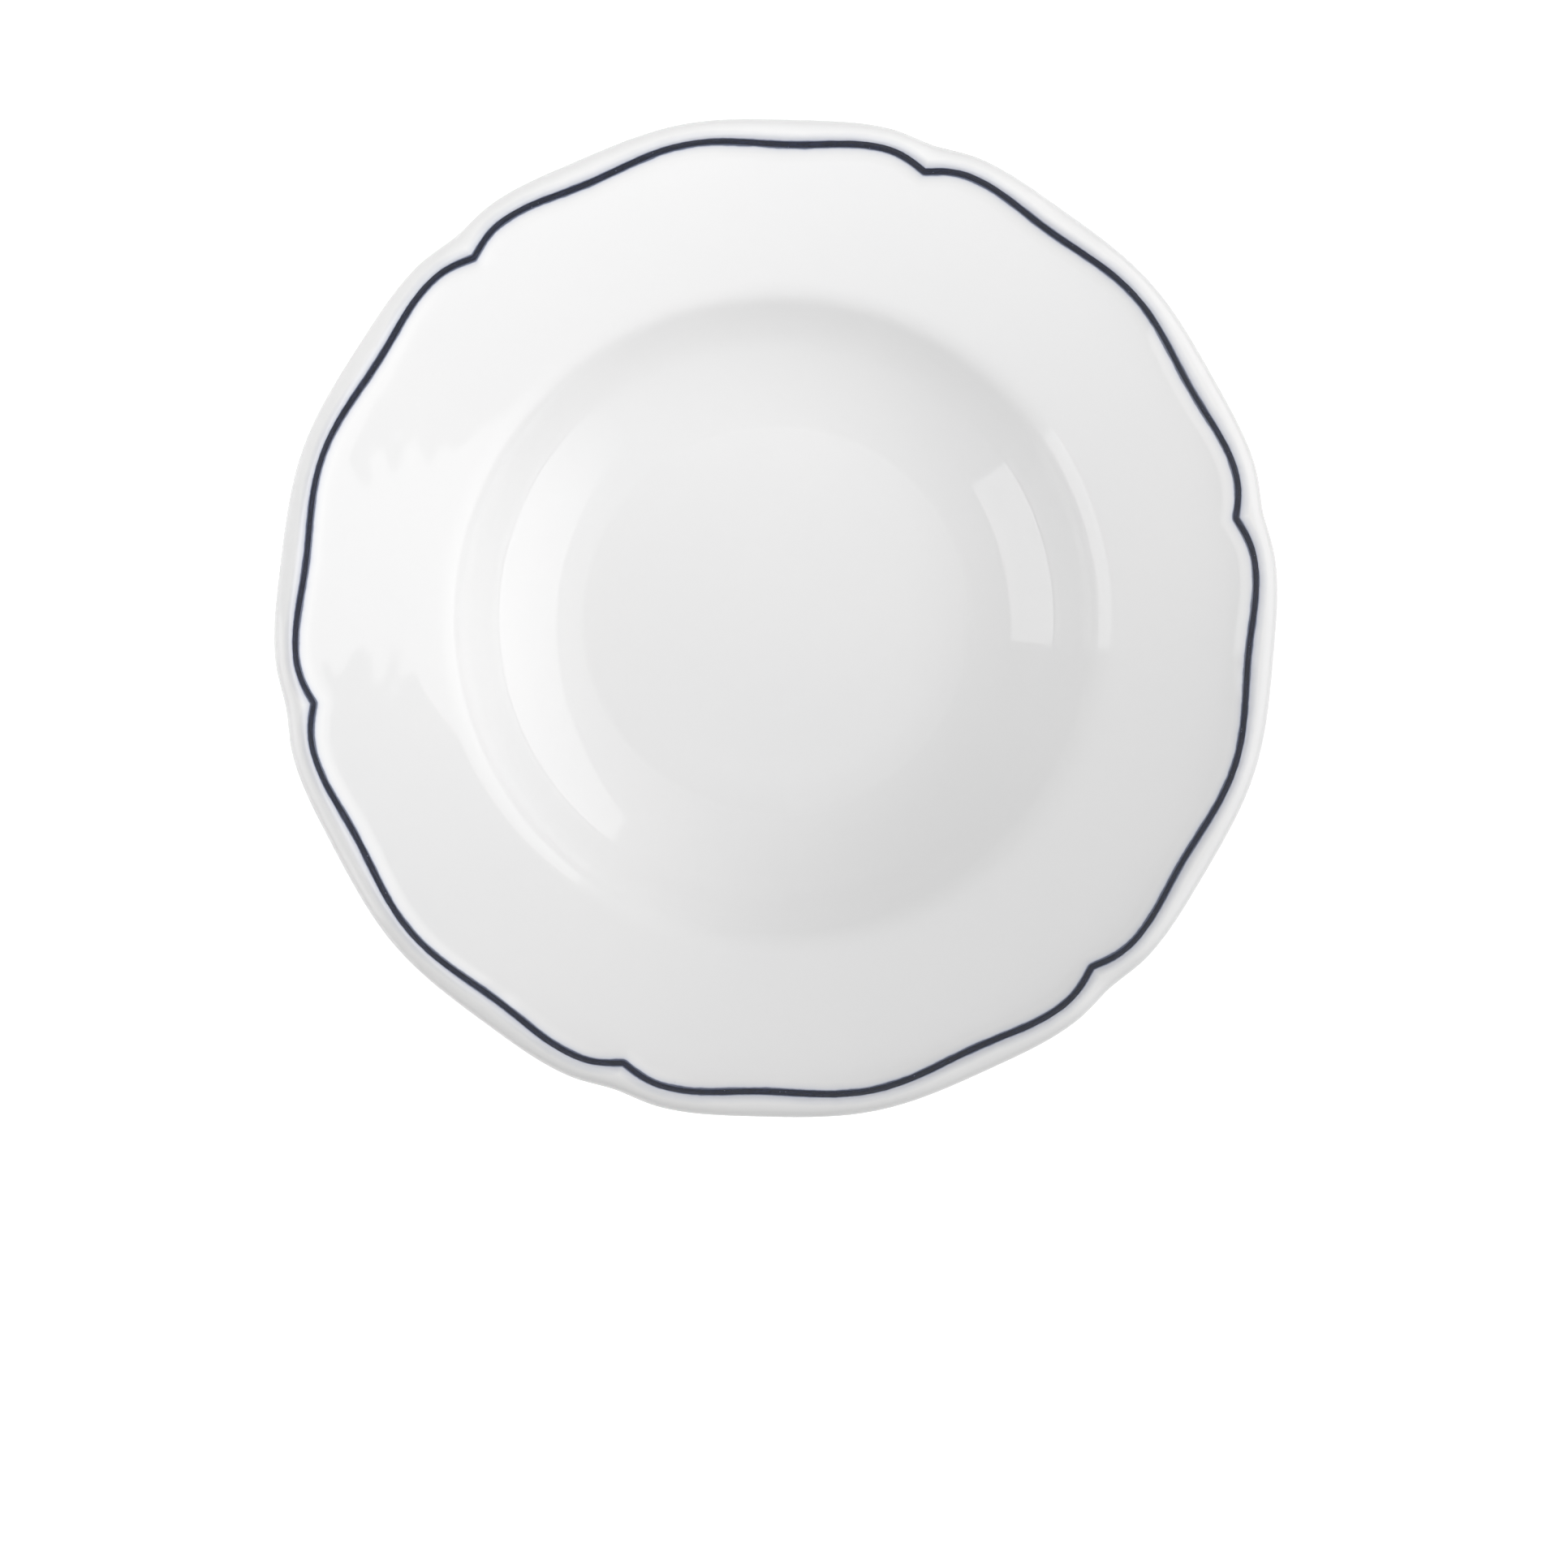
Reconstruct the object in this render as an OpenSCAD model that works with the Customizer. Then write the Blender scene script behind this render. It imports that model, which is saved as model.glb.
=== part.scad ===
// Rimmed soup plate in glazed porcelain, with a scalloped lip and one painted line.
// The origin is at the middle of the foot's standing plane, with +Z up.
// Sizes are those of the glazed plate. The clay lies one glaze thickness inside them.

/* [Plate] */
// Widest diameter, over the lobes of the lip
plate_d = 230; // [210:1:250]
// Height from the table to the crest of the lip
plate_h = 47; // [43:0.5:52]

/* [Well] */
// Diameter of the well at its shoulder
well_d = 148.5; // [140:0.5:156]
// Diameter of the flat floor
floor_d = 89; // [80:1:96]
// Radius that rounds the edge of the floor
floor_edge_r = 5.5; // [2:0.5:8]
// Slope at which the wall leaves the floor, in degrees
start_slope = 12; // [8:1:15]
// Radius of the sweep of the wall
wall_sweep_r = 42; // [16:1:46]
// Radius that rounds the shoulder of the well
shoulder_r = 12; // [2:0.5:14]
// Thickness of the floor
floor_t = 5; // [3.5:0.1:6]

/* [Rim] */
// Thickness of the rim beside the well, square to its slope
rim_t = 4.6; // [3.5:0.1:5.5]
// Slope of the rim's top face, in degrees
top_slope = 21; // [19:0.5:23]
// Slope of the rim's underside beside the well, in degrees
inner_slope = 20; // [16:1:22]
// Slope of the rim's underside beside the lip, in degrees
outer_slope = 25; // [23:1:28]
// Radius that rounds the bend between the two slopes
bend_r = 40; // [10:1:60]

/* [Underside] */
// How far the shoulder's underside stands outside the shoulder of the well
shoulder_out = 5.8; // [4.5:0.1:7]
// Radius that rounds the underside of the shoulder
under_shoulder_r = 6; // [2:0.5:9]
// Radius of the bulge of the outer wall
belly_r = 52; // [30:1:70]

/* [Foot] */
// Outer diameter of the foot ring
foot_d = 103; // [96:0.5:106]
// Width of the foot ring
foot_w = 4; // [3.5:0.1:5.5]
// Depth of the recess inside the foot ring
recess_h = 2.7; // [2:0.1:3.2]
// Height at which the ring's outer face meets the slope of the wall
foot_h = 3.3; // [2.5:0.1:4]
// Radius of the hollow between the ring's outer face and the wall
foot_cove_r = 4; // [1:0.5:5]
// Radius of the hollow between the recess's ceiling and its wall
recess_cove_r = 1.5; // [0.5:0.1:1.8]
// Radius that rounds the two edges of the standing face
foot_edge_r = 0.8; // [0.3:0.1:1.2]

/* [Lip] */
// Radius of the rounded edge
bead_r = 3.3; // [2.8:0.1:3.8]
// Number of notches round the lip
notch_count = 6; // [5:1:8]
// Depth of a notch in the outer edge
edge_notch = 1; // [0:0.1:1.4]
// Depth of the shallow dent between lobes in the outer edge
edge_dent = 0.9; // [0:0.1:1.4]
// Greatest stray of a notch from even spacing, in degrees; 0 spaces them evenly
notch_stray = 1.25; // [0:0.05:2]

/* [Painted line] */
// Distance from the edge in to the middle of the line, at the lobes
line_inset = 4.8; // [4.4:0.1:5.6]
// Width of the line
line_w = 1.4; // [0.8:0.1:1.8]
// Depth of a notch in the line
line_notch = 2.6; // [0:0.1:3.2]
// Depth of the shallow dent between lobes in the line
line_dent = 1.9; // [0:0.1:2.4]
// Height of the line above the slope of the rim
line_rise = 1.5; // [0.4:0.1:2]
// Width of the hollow that climbs to the line from the rim
hollow_w = 4.2; // [1.8:0.1:5]
// How far the line is sunk in the glaze
line_sunk = 0.12; // [0.06:0.01:0.12]
// How far the line stands proud of the glaze
line_proud = 0.05; // [0.03:0.01:0.1]

/* [Glaze] */
// Thickness of the glaze
glaze_t = 0.25; // [0.15:0.05:0.4]
// Height of bare clay left at the foot
bare_h = 1; // [0.8:0.1:1.6]

/* [Hidden] */

clay_colour = "#eee9df";
glaze_colour = "#f7f7f6";
line_colour = "#2d323f";

// Turn of one facet along a rounded profile, in degrees
facet_turn = 4;
$fn = 120;

// Half of a full turn and a whole one, in degrees
half_turn = 180;
full_turn = 360;

// Where each notch strays, as shares of notch_stray; further notches repeat the list
stray_shares = [0.8, 0.3, -1, -0.65, -0.15, 0.7];
// First notch, in degrees from +X; with it one notch lies on -Y
first_notch = 30;
// Between a notch and the middle of the next lobe: where the lobe beside the notch peaks,
// and where the dent is deepest
side_lobe_share = 0.2;
dent_share = 0.57;
// Powers that tighten the line's notch, and the edge's softer one
line_notch_power = 0.62;
edge_notch_power = 0.9;
// Steps in half a sector, and the power that crowds them toward the notch
half_steps = 12;
crowd_power = 1.45;

// Along the rim's width, from the well to the edge: where the underside's slope changes
bend_share = 0.555;
// From the floor's edge to the shoulder, outward: where the wall's two slopes would meet
wall_out_share = 0.582;
// From the foot to the shoulder's underside, outward and upward: the corner of the bulge
belly_out_share = 0.575;
belly_up_share = 0.38;

// The lip is a ring whose inner walls are sunk this deep in the rim
sunk = 2;
// Small ledge at which its surfaces leave the rim's, so that they cross squarely
ledge = 0.08;
// Width of the lip's underside beyond the rounded edge
lip_under_w = 1.5;
// Gap between the core's end and the ring's inner wall beneath
core_gap = 0.6;
rise_steps = 3;
bead_steps = 8;

// Overrun of a cut
over = 1;

plate_r = plate_d / 2;
well_r = well_d / 2;
floor_r = floor_d / 2;
foot_r = foot_d / 2;
foot_in_r = foot_r - foot_w;
floor_z = recess_h + floor_t;
wall_run = wall_out_share * (well_r - floor_r);

// The rim's underside is tangent to the rounded edge
bead_out_r = plate_r - bead_r;
bead_z = plate_h - bead_r;
bend_x = well_r + bend_share * (plate_r - well_r);
under_bend_z = bead_z - bead_r / cos(outer_slope) - tan(outer_slope) * (bead_out_r - bend_x);

// Height of the rim's underside, and of its straight top, at radius r
function under(r) =
    r > bend_x
        ? under_bend_z + tan(outer_slope) * (r - bend_x)
        : under_bend_z + tan(inner_slope) * (r - bend_x);
function top(r) = under(well_r) + rim_t / cos(top_slope) + tan(top_slope) * (r - well_r);

// The core ends inside the lip's ring
lip_under_r = plate_r - bead_r - lip_under_w;
core_r = lip_under_r + core_gap;

// Smooth step from 0 to 1
function ease(x) = (1 - cos(half_turn * x)) / 2;

// Depth of the scallop; fold runs from 0 at a notch to 1 in the middle of a lobe
function dip(fold, notch, dent, power) =
    fold < side_lobe_share
        ? notch * (1 - ease(pow(fold / side_lobe_share, power)))
        : fold < dent_share
            ? dent * ease((fold - side_lobe_share) / (dent_share - side_lobe_share))
            : dent * (1 - ease((fold - dent_share) / (1 - dent_share)));

// Stations round the lip: the angle and the fold at each
sector = full_turn / notch_count;
station_count = 2 * half_steps * notch_count;
function stray(k) = notch_stray * stray_shares[(k % notch_count) % len(stray_shares)];
function notch_angle(k) = first_notch + sector * k + stray(k);
function crowded(x) = pow(x, crowd_power) / 2;
function along(i) = i <= half_steps
    ? crowded(i / half_steps)
    : 1 - crowded(2 - i / half_steps);
angles = [
    for (k = [0:notch_count - 1])
        for (i = [0:2 * half_steps - 1])
            notch_angle(k) + along(i) * (notch_angle(k + 1) - notch_angle(k))
];
folds = [
    for (k = [0:notch_count - 1])
        for (i = [0:2 * half_steps - 1])
            2 * min(along(i), 1 - along(i))
];
edge_rs = [for (f = folds) plate_r - dip(f, edge_notch, edge_dent, edge_notch_power)];
line_rs = [for (f = folds) plate_r - line_inset - dip(f, line_notch, line_dent, line_notch_power)];

// Half the line's width along the radius, which is more where the line runs aslant
line_halves = [
    for (i = [0:station_count - 1])
        let (
            before = (i + station_count - 1) % station_count,
            after = (i + 1) % station_count,
            swing = (angles[after] - angles[before] + full_turn) % full_turn,
            run = line_rs[i] * swing * PI / half_turn
        )
        line_w / 2 / cos(atan((line_rs[after] - line_rs[before]) / run))
];

// Rounding of a path of corners [r, z, radius]
function xy(p) = [p[0], p[1]];
function unit(v) = v / norm(v);
function turn(a, b) = asin(a[0] * b[1] - a[1] * b[0]);
function bend_at(c, i) = turn(unit(xy(c[i]) - xy(c[i - 1])), unit(xy(c[i + 1]) - xy(c[i])));
function reach(c, i) =
    i < 1 || i > len(c) - 2 ? 0 : c[i][2] * tan(abs(bend_at(c, i)) / 2);
// Share of its radius that a corner keeps where two roundings would meet
function kept(c, i) = min(
    1,
    norm(xy(c[i]) - xy(c[i - 1])) / (reach(c, i - 1) + reach(c, i)),
    norm(xy(c[i + 1]) - xy(c[i])) / (reach(c, i) + reach(c, i + 1))
);
function arc(c, i) =
    let (
        bend = bend_at(c, i),
        r = c[i][2] * kept(c, i),
        into = unit(xy(c[i]) - xy(c[i - 1])),
        start = xy(c[i]) - into * r * tan(abs(bend) / 2),
        side = sign(bend) * [-into[1], into[0]],
        steps = ceil(abs(bend) / facet_turn)
    )
    [
        for (k = [0:steps])
            let (a = abs(bend) * k / steps)
            start + side * r * (1 - cos(a)) + into * r * sin(a)
    ];
function rounded(c) = [
    for (i = [0:len(c) - 1])
        each (i > 0 && i < len(c) - 1 && c[i][2] > 0 ? arc(c, i) : [xy(c[i])])
];

// The same path moved to its right by d, with its radii grown or shrunk to stay parallel
function right_of(a, b) = let (v = unit(xy(b) - xy(a))) [v[1], -v[0]];
function parallel(c, d) = [
    for (i = [0:len(c) - 1])
        let (
            n1 = right_of(c[max(i - 1, 0)], c[max(i, 1)]),
            n2 = right_of(c[min(i, len(c) - 2)], c[min(i + 1, len(c) - 1)]),
            p = xy(c[i]) + d * (n1 + n2) / (1 + n1 * n2),
            bend = turn([-n1[1], n1[0]], [-n2[1], n2[0]])
        )
        [p[0], p[1], c[i][2] == 0 ? 0 : c[i][2] + sign(bend) * d]
];

// The part of a falling path that lies above height z
function above(c, z) = [
    for (i = [0:len(c) - 1])
        if (c[i][1] > z)
            c[i]
        else if (i > 0 && c[i - 1][1] > z)
            c[i - 1] + (c[i] - c[i - 1]) * (c[i - 1][1] - z) / (c[i - 1][1] - c[i][1])
];
function backward(c) = [for (i = [len(c) - 1:-1:0]) c[i]];

// Corners of the top face, from the middle of the floor out to the lip
top_corners = [
    [0, floor_z, 0],
    [floor_r, floor_z, floor_edge_r],
    [floor_r + wall_run, floor_z + tan(start_slope) * wall_run, wall_sweep_r],
    [well_r, top(well_r), shoulder_r],
    [core_r, top(core_r), 0]
];

// Corners of the underside, from the lip in and down to the foot's standing plane
under_shoulder = [well_r + shoulder_out, under(well_r + shoulder_out)];
under_corners = [
    [core_r, under(core_r), 0],
    [bend_x, under(bend_x), bend_r],
    [under_shoulder[0], under_shoulder[1], under_shoulder_r],
    [
        foot_r + belly_out_share * (under_shoulder[0] - foot_r),
        foot_h + belly_up_share * (under_shoulder[1] - foot_h),
        belly_r
    ],
    [foot_r, foot_h, foot_cove_r],
    [foot_r, 0, 0]
];

// Corners of the recess, from the middle out and down, and across the standing face
recess_corners = [
    [0, recess_h, 0],
    [foot_in_r, recess_h, recess_cove_r],
    [foot_in_r, 0, foot_edge_r],
    [foot_r - glaze_t, 0, foot_edge_r]
];

// The middle of the rounded edge, over an edge at radius e
function bead_middle(e) = [e - bead_r, under(e - bead_r) + bead_r / cos(outer_slope)];

// Height of the glazed surface at radius r, from the hollow over the line to the crest
function glazed_z(r, e, l) =
    let (
        inner = l - hollow_w,
        crest = bead_middle(e) + [0, bead_r],
        run = crest[0] - l,
        climb = crest[1] - top(l) - line_rise,
        // Rise over the whole run, were the slope at the line kept up
        steep = run * (tan(top_slope) + 2 * line_rise / hollow_w),
        s = (r - l) / run
    )
    r < l
        ? top(r) + ledge + (line_rise - ledge) * pow((r - inner) / hollow_w, 2)
        : top(l) + line_rise + climb * (3 * s * s - 2 * s * s * s)
            + steep * (s * s * s - 2 * s * s + s);

// Section of the lip's ring, skin deep, for an edge at e and a line at l that is 2 h wide
function lip_section(e, l, h, skin) =
    let (
        lift = skin / cos(top_slope),
        under_lift = skin / cos(outer_slope),
        middle = bead_middle(e),
        inner = l - hollow_w,
        tip = middle[0] - lip_under_w,
        stations = [
            inner,
            (inner + l - h) / 2,
            l - h,
            l,
            l + h,
            for (i = [1:rise_steps - 1]) l + h + (middle[0] - l - h) * i / rise_steps
        ]
    )
    concat(
        [[inner, top(inner) - lift - sunk]],
        [for (r = stations) [r, glazed_z(r, e, l) - lift]],
        [
            for (i = [0:bead_steps])
                let (a = half_turn / 2 - (half_turn - outer_slope) * i / bead_steps)
                middle + (bead_r - skin) * [cos(a), sin(a)]
        ],
        [
            [tip, under(tip) + under_lift - ledge],
            [tip, under(tip) + under_lift + sunk]
        ]
    );

// Section of the painted line, from deep under the glazed surface to high above it
function line_section(e, l, h, deep, high) =
    let (rs = [l - h, l, l + h])
    concat(
        [for (r = rs) [r, glazed_z(r, e, l) + high]],
        [for (i = [2:-1:0]) [rs[i], glazed_z(rs[i], e, l) - deep]]
    );

// Closed ring through one section at each station, given clockwise
module ring(sections) {
    m = len(sections[0]);
    points = [
        for (i = [0:station_count - 1])
            for (p = sections[i])
                [p[0] * cos(angles[i]), p[0] * sin(angles[i]), p[1]]
    ];
    faces = [
        for (i = [0:station_count - 1])
            for (j = [0:m - 1])
                let (
                    next_i = (i + 1) % station_count,
                    next_j = (j + 1) % m,
                    a = i * m + j,
                    b = i * m + next_j,
                    c = next_i * m + next_j,
                    d = next_i * m + j
                )
                each [[a, c, b], [a, d, c]]
    ];
    polyhedron(points, faces, convexity = 6);
}

module lip(skin) {
    ring([
        for (i = [0:station_count - 1])
            lip_section(edge_rs[i], line_rs[i], line_halves[i], skin)
    ]);
}

module line_body(deep, high) {
    ring([
        for (i = [0:station_count - 1])
            line_section(edge_rs[i], line_rs[i], line_halves[i], deep, high)
    ]);
}

// Clay: floor, wall, rim and foot ring, with the lip
module clay() {
    below = parallel(under_corners, glaze_t);
    profile = rounded(concat(
        parallel(top_corners, glaze_t),
        [for (i = [0:len(below) - 2]) below[i]],
        backward(recess_corners)
    ));
    rotate_extrude() polygon(profile);
    lip(glaze_t);
}

// Everything within the glazed surface, down to the bare edge of the foot
module glazed_form() {
    middle_r = foot_r - foot_w / 2;
    core_z = recess_h + floor_t / 2;
    profile = concat(
        rounded(top_corners),
        above(rounded(under_corners), bare_h),
        [[middle_r, bare_h], [middle_r, core_z], [0, core_z]]
    );
    rotate_extrude() polygon(profile);
    lip(0);
}

module porcelain_body() {
    color(clay_colour) clay();
}

module outer_glaze() {
    color(glaze_colour)
        difference() {
            glazed_form();
            clay();
            line_body(line_sunk, over);
        }
}

module base_glaze() {
    clay_side = above(rounded(recess_corners), bare_h);
    air_side = above(rounded(parallel(recess_corners, glaze_t)), bare_h);
    color(glaze_colour)
        rotate_extrude() polygon(concat(clay_side, backward(air_side)));
}

module rim_line() {
    color(line_colour) line_body(line_sunk, line_proud);
}

porcelain_body();
outer_glaze();
base_glaze();
rim_line();
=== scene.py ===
"""Looks of a rimmed soup plate in glazed porcelain, seen from straight above on plain white.

Lengths are millimetres and turns are degrees in the dataclasses; meshes and the studio are in metres.
The scale of a noise is in cells a metre. A section is a path of (distance from the plate's axis,
height) points. It runs clockwise: out over the top face, round the lip and back in underneath, so
that faces made from it point outwards.
"""

import logging
from dataclasses import dataclass, field
from enum import Enum

import bpy
import numpy as np
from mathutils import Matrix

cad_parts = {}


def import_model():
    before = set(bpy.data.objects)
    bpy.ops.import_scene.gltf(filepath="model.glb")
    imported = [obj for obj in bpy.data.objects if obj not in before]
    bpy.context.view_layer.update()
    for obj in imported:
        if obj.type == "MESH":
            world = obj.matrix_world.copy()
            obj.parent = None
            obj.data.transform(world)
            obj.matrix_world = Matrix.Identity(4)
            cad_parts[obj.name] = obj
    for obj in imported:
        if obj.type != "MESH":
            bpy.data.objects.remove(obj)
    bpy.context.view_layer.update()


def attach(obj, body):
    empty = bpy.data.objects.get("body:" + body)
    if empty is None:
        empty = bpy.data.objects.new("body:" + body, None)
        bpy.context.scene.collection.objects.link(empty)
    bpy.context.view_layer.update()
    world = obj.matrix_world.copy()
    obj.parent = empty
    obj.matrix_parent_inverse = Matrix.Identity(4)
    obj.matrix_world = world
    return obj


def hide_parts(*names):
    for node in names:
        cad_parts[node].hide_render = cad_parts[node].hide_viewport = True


Array = np.ndarray
Colour = tuple[float, float, float]

MM = 0.001
LOG = logging.getLogger("soup_plate")


class Slot(Enum):
    """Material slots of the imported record."""

    CLAY = "porcelain"
    GLAZE = "glaze"
    LINE = "navy_line"


# Paths


def unit_ways(points: Array) -> tuple[Array, Array]:
    """Directions and lengths of a path's legs.

    Args:
        points: Path of (n, 2) points.

    Returns:
        Unit directions of (n - 1, 2) and lengths of (n - 1,).
    """
    legs = np.diff(points, axis=0)
    lengths = np.linalg.norm(legs, axis=1)
    return legs / lengths[:, None], lengths


def bends_of(ways: Array) -> Array:
    """Signed turn at each inner corner, the arcsine of the cross product of the legs' directions."""
    cross = ways[:-1, 0] * ways[1:, 1] - ways[:-1, 1] * ways[1:, 0]
    return np.arcsin(np.clip(cross, -1.0, 1.0))


def rounded(corners: Array, step: float = 3.0) -> Array:
    """Rounds the inner corners of a path with tangent arcs.

    The arc of radius R at a bend B starts R tan(B / 2) before the corner, and its point after a turn
    of a is start + R (1 - cos a) sideways + R sin a ahead. Radii shrink where two arcs would meet.

    Args:
        corners: Rows of (distance from axis, height, rounding radius).
        step: Turn between the arc's points.

    Returns:
        Path of (n, 2) points.
    """
    points = corners[:, :2]
    ways, lengths = unit_ways(points)
    bends = bends_of(ways)
    reach = np.zeros(len(corners))
    reach[1:-1] = corners[1:-1, 2] * np.tan(np.abs(bends) / 2)
    room = lengths / np.maximum(reach[:-1] + reach[1:], 1e-9)
    made = [points[:1]]
    for i, bend in enumerate(bends, start=1):
        radius = corners[i, 2] * min(1.0, room[i - 1], room[i])
        if radius <= 0.0:
            made.append(points[i : i + 1])
            continue
        way = ways[i - 1]
        count = int(np.ceil(np.degrees(abs(bend)) / step)) + 1
        a = np.linspace(0.0, abs(bend), max(count, 2))[:, None]
        start = points[i] - way * radius * np.tan(abs(bend) / 2)
        side = np.sign(bend) * np.array([-way[1], way[0]])
        made.append(start + side * radius * (1 - np.cos(a)) + way * radius * np.sin(a))
    made.append(points[-1:])
    return np.concatenate(made)


def parallel(corners: Array, gap: float) -> Array:
    """Moves a path to its right by a gap, and grows or shrinks its radii to stay parallel.

    Args:
        corners: Rows of (distance from axis, height, rounding radius).
        gap: Distance to move, to the right of the way along the path.

    Returns:
        The moved rows.
    """
    ways, _ = unit_ways(corners[:, :2])
    rights = np.stack([ways[:, 1], -ways[:, 0]], axis=1)
    before = np.concatenate([rights[:1], rights])
    after = np.concatenate([rights, rights[-1:]])
    share = 1 + np.sum(before * after, axis=1, keepdims=True)
    moved = corners.copy()
    moved[:, :2] += gap * (before + after) / share
    signs = np.concatenate([[0.0], np.sign(bends_of(ways)), [0.0]])
    moved[:, 2] = np.where(corners[:, 2] > 0, corners[:, 2] + signs * gap, 0.0)
    return moved


def filled(path: Array, gap: float) -> Array:
    """Adds evenly spaced points on the legs of a path that are longer than a gap.

    Args:
        path: Path of (n, 2) points.
        gap: Longest leg to leave.

    Returns:
        Path with the same shape and more points.
    """
    _, lengths = unit_ways(path)
    at = np.concatenate([[0.0], np.cumsum(lengths)])
    counts = np.maximum(np.ceil(lengths / gap).astype(int), 1)
    stops = [np.linspace(a, b, n, endpoint=False) for a, b, n in zip(at[:-1], at[1:], counts)]
    where = np.concatenate([*stops, at[-1:]])
    return np.stack([np.interp(where, at, path[:, k]) for k in range(2)], axis=1)


def shares(count: int) -> Array:
    """Evenly spaced shares from 0, short of 1."""
    return np.linspace(0.0, 1.0, count, endpoint=False)


def steps(path: Array) -> Array:
    """Length along each section up to each of its points, from 0 at the start."""
    legs = np.linalg.norm(np.diff(path, axis=-2), axis=-1)
    return np.concatenate([np.zeros((*legs.shape[:-1], 1)), np.cumsum(legs, axis=-1)], axis=-1)


# Sizes


@dataclass(frozen=True)
class PlateSizes:
    """Sizes of the glazed plate, the same as those of its solids.

    A name ends in _d for a diameter, _r for a radius, _t for a thickness, _w for a width and _h for
    a height. The top face runs level over the floor, up the wall's sweep to the shoulder of the
    well, and at top_slope to the lip. The underside falls at outer_slope to the bend and at
    inner_slope to its own shoulder, and bulges over the belly down to the foot ring.
    """

    plate_d: float = 230.0
    plate_h: float = 47.0
    well_d: float = 148.5
    floor_d: float = 89.0
    floor_edge_r: float = 5.5
    start_slope: float = 12.0
    wall_sweep_r: float = 42.0
    wall_out_share: float = 0.582
    shoulder_r: float = 12.0
    floor_t: float = 5.0
    rim_t: float = 4.6
    top_slope: float = 21.0
    inner_slope: float = 20.0
    outer_slope: float = 25.0
    bend_r: float = 40.0
    bend_share: float = 0.555
    shoulder_out: float = 5.8
    under_shoulder_r: float = 6.0
    belly_r: float = 52.0
    belly_out_share: float = 0.575
    belly_up_share: float = 0.38
    foot_d: float = 103.0
    foot_w: float = 4.0
    foot_h: float = 3.3
    foot_cove_r: float = 4.0
    foot_edge_r: float = 0.8
    recess_h: float = 2.7
    recess_cove_r: float = 1.5
    bead_r: float = 3.3
    line_rise: float = 1.5
    hollow_w: float = 4.2
    line_w: float = 1.4
    line_sunk: float = 0.12
    line_proud: float = 0.05
    glaze_t: float = 0.25
    bare_h: float = 1.0

    @property
    def plate_r(self) -> float:
        """Greatest radius of the plate."""
        return self.plate_d / 2

    @property
    def well_r(self) -> float:
        """Radius of the well at its shoulder."""
        return self.well_d / 2

    @property
    def foot_r(self) -> float:
        """Outer radius of the foot ring."""
        return self.foot_d / 2

    @property
    def foot_in_r(self) -> float:
        """Inner radius of the foot ring."""
        return self.foot_r - self.foot_w

    @property
    def top_tilt(self) -> float:
        """Tangent of the rim's top slope."""
        return float(np.tan(np.radians(self.top_slope)))

    @property
    def top_lean(self) -> float:
        """Cosine of the rim's top slope."""
        return float(np.cos(np.radians(self.top_slope)))

    @property
    def tilt(self) -> float:
        """Tangent of the underside's outer slope."""
        return float(np.tan(np.radians(self.outer_slope)))

    @property
    def lean(self) -> float:
        """Cosine of the underside's outer slope."""
        return float(np.cos(np.radians(self.outer_slope)))

    @property
    def bend_x(self) -> float:
        """Radius at which the underside's slope changes."""
        return self.well_r + self.bend_share * (self.plate_r - self.well_r)

    def under(self, r: Array | float) -> Array:
        """Height of the rim's underside: two straight slopes that meet over the bend.

        Args:
            r: Distance from the axis.

        Returns:
            Height above the table.
        """
        r = np.asarray(r, float)
        bead_z = self.plate_h - self.bead_r
        to_bend = self.plate_r - self.bead_r - self.bend_x
        bend_z = bead_z - self.bead_r / self.lean - self.tilt * to_bend
        slope = np.where(r > self.bend_x, self.tilt, np.tan(np.radians(self.inner_slope)))
        return bend_z + slope * (r - self.bend_x)

    def top(self, r: Array | float) -> Array:
        """Height of the rim's top face: straight, and rim_t thick beside the well."""
        return self.under(self.well_r) + self.rim_t / self.top_lean + self.top_tilt * (r - self.well_r)

    def top_corners(self, end_r: float) -> Array:
        """Corners of the top face, from the middle of the floor out to a radius on the rim.

        The wall starts at start_slope, runs over wall_out_share of its width, and turns there to meet
        the rim at the shoulder.

        Args:
            end_r: Radius at which the corners end.

        Returns:
            Rows of (distance from axis, height, rounding radius).
        """
        floor_z = self.recess_h + self.floor_t
        floor_r = self.floor_d / 2
        run = self.wall_out_share * (self.well_r - floor_r)
        wall_z = floor_z + float(np.tan(np.radians(self.start_slope))) * run
        return np.array(
            [
                [0.0, floor_z, 0.0],
                [floor_r, floor_z, self.floor_edge_r],
                [floor_r + run, wall_z, self.wall_sweep_r],
                [self.well_r, self.top(self.well_r), self.shoulder_r],
                [end_r, self.top(end_r), 0.0],
            ]
        )

    def under_corners(self, start_r: float, end_z: float) -> Array:
        """Corners of the underside, from a radius on the rim in and down to a height on the foot.

        Args:
            start_r: Radius at which the corners start.
            end_z: Height at which they end, on the outside of the foot ring.

        Returns:
            Rows of (distance from axis, height, rounding radius).
        """
        shoulder_r = self.well_r + self.shoulder_out
        shoulder_z = float(self.under(shoulder_r))
        belly_r = self.foot_r + self.belly_out_share * (shoulder_r - self.foot_r)
        belly_z = self.foot_h + self.belly_up_share * (shoulder_z - self.foot_h)
        return np.array(
            [
                [start_r, self.under(start_r), 0.0],
                [self.bend_x, self.under(self.bend_x), self.bend_r],
                [shoulder_r, shoulder_z, self.under_shoulder_r],
                [belly_r, belly_z, self.belly_r],
                [self.foot_r, self.foot_h, self.foot_cove_r],
                [self.foot_r, end_z, 0.0],
            ]
        )


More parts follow.
